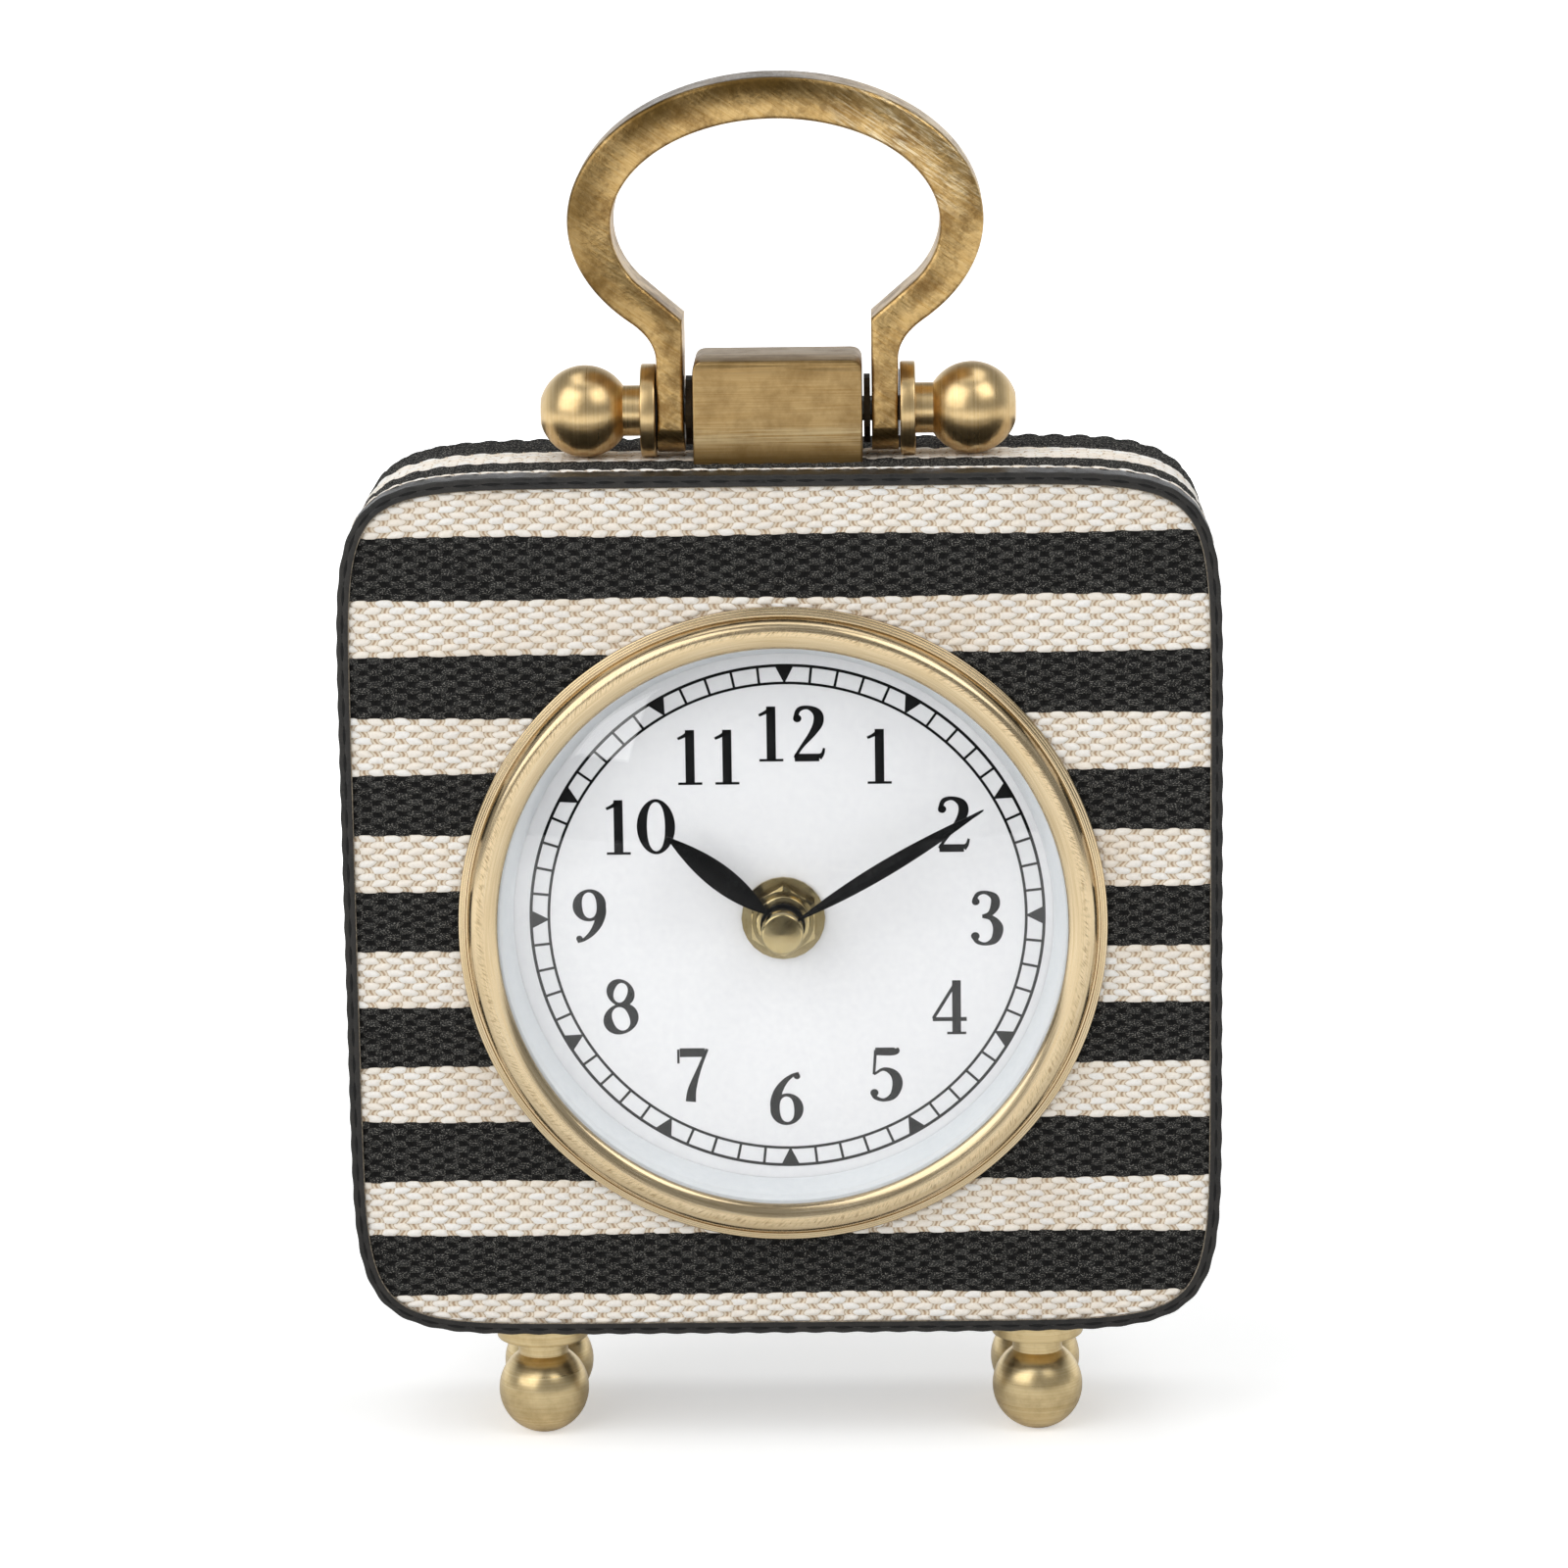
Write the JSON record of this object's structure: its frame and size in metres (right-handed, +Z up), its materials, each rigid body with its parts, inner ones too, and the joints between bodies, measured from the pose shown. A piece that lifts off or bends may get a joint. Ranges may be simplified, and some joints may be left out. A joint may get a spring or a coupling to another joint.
{
  "type": "standing clock",
  "caption": "Small standing clock: rounded square canvas case with leather binding, brass bezel round a white dial, swinging brass handle on top and ball feet.",
  "frame": {"origin": "middle of the footprint on the surface the feet stand on", "axes": "+Z up, +X to the viewer's right when facing the dial, -Y out of the dial towards the viewer"},
  "size_m": [0.133, 0.047, 0.21],
  "materials": {
    "canvas": "heavy plain weave cotton canvas in black and cream stripes",
    "leather": "smooth black leather, slightly glossy, stitched",
    "board": "bare fibreboard",
    "cover_board": "black covered hardboard",
    "brass": "brushed antique brass",
    "polished_brass": "polished pale brass",
    "steel": "plain steel",
    "copper": "enamelled copper wire",
    "dial_white": "matt white lacquer",
    "hand_black": "gloss black lacquer",
    "movement_plastic": "moulded plastic",
    "nylon": "moulded plastic",
    "cell_wrap": "printed foil sleeve",
    "circuit": "green solder resist",
    "glass": "clear domed glass"
  },
  "bodies": {
    "clock": {"front_board": "board", "case_frame": "board", "front_canvas": "canvas", "side_canvas": "canvas", "front_binding": "leather", "rear_cover": "cover_board", "insert_cup": "steel", "dial": "dial_white", "dial_collar": "dial_white", "crystal": "glass", "bezel": "brass", "dial_washer": "polished_brass", "dial_nut": "polished_brass", "movement_front": "movement_plastic", "movement_back": "movement_plastic", "cell": "cell_wrap", "contact_minus": "steel", "contact_plus": "steel", "stator": "steel", "coil": "copper", "rotor": "steel", "circuit_board": "circuit", "crystal_can": "steel", "handle_block": "brass", "block_screw_left": "steel", "block_screw_right": "steel", "handle_pin": "steel", "finial_left": "brass", "finial_right": "brass", "pin_washer_left": "brass", "pin_washer_right": "brass", "cover_screw_lower_left": "steel", "cover_screw_lower_right": "steel", "cover_screw_upper_left": "steel", "cover_screw_upper_right": "steel", "foot_front_left": "brass", "foot_screw_front_left": "steel", "foot_front_right": "brass", "foot_screw_front_right": "steel", "foot_rear_left": "brass", "foot_screw_rear_left": "steel", "foot_rear_right": "brass", "foot_screw_rear_right": "steel"},
    "minute_hand_group": {"minute_arbor": "steel", "minute_hand": "hand_black", "cap_nut": "polished_brass"},
    "hour_hand_group": {"hour_wheel": "nylon", "hour_hand": "hand_black"},
    "setting_group": {"minute_wheel": "nylon", "set_knob": "nylon"},
    "handle": {"handle_loop": "brass"}
  },
  "joints": [
    {"name": "minute_turn", "type": "hinge", "parent": "clock", "child": "minute_hand_group", "pos_m": [0, -0.0091, 0.08327], "axis": [0, 1, 0], "continuous": true},
    {"name": "hour_turn", "type": "hinge", "parent": "clock", "child": "hour_hand_group", "pos_m": [0, -0.0091, 0.08327], "axis": [0, 1, 0], "continuous": true},
    {"name": "setting_turn", "type": "hinge", "parent": "clock", "child": "setting_group", "pos_m": [0.005, -0.0091, 0.09193], "axis": [0, 1, 0], "continuous": true},
    {"name": "handle_swing", "type": "hinge", "parent": "clock", "child": "handle", "pos_m": [0, 0.0043, 0.15927], "axis": [1, 0, 0], "range_deg": [-90, 90]}
  ],
  "couplings": [
    {"joint": "hour_turn", "follows": "minute_turn", "ratio": 0.083333},
    {"joint": "setting_turn", "follows": "minute_turn", "ratio": -0.33333}
  ]
}
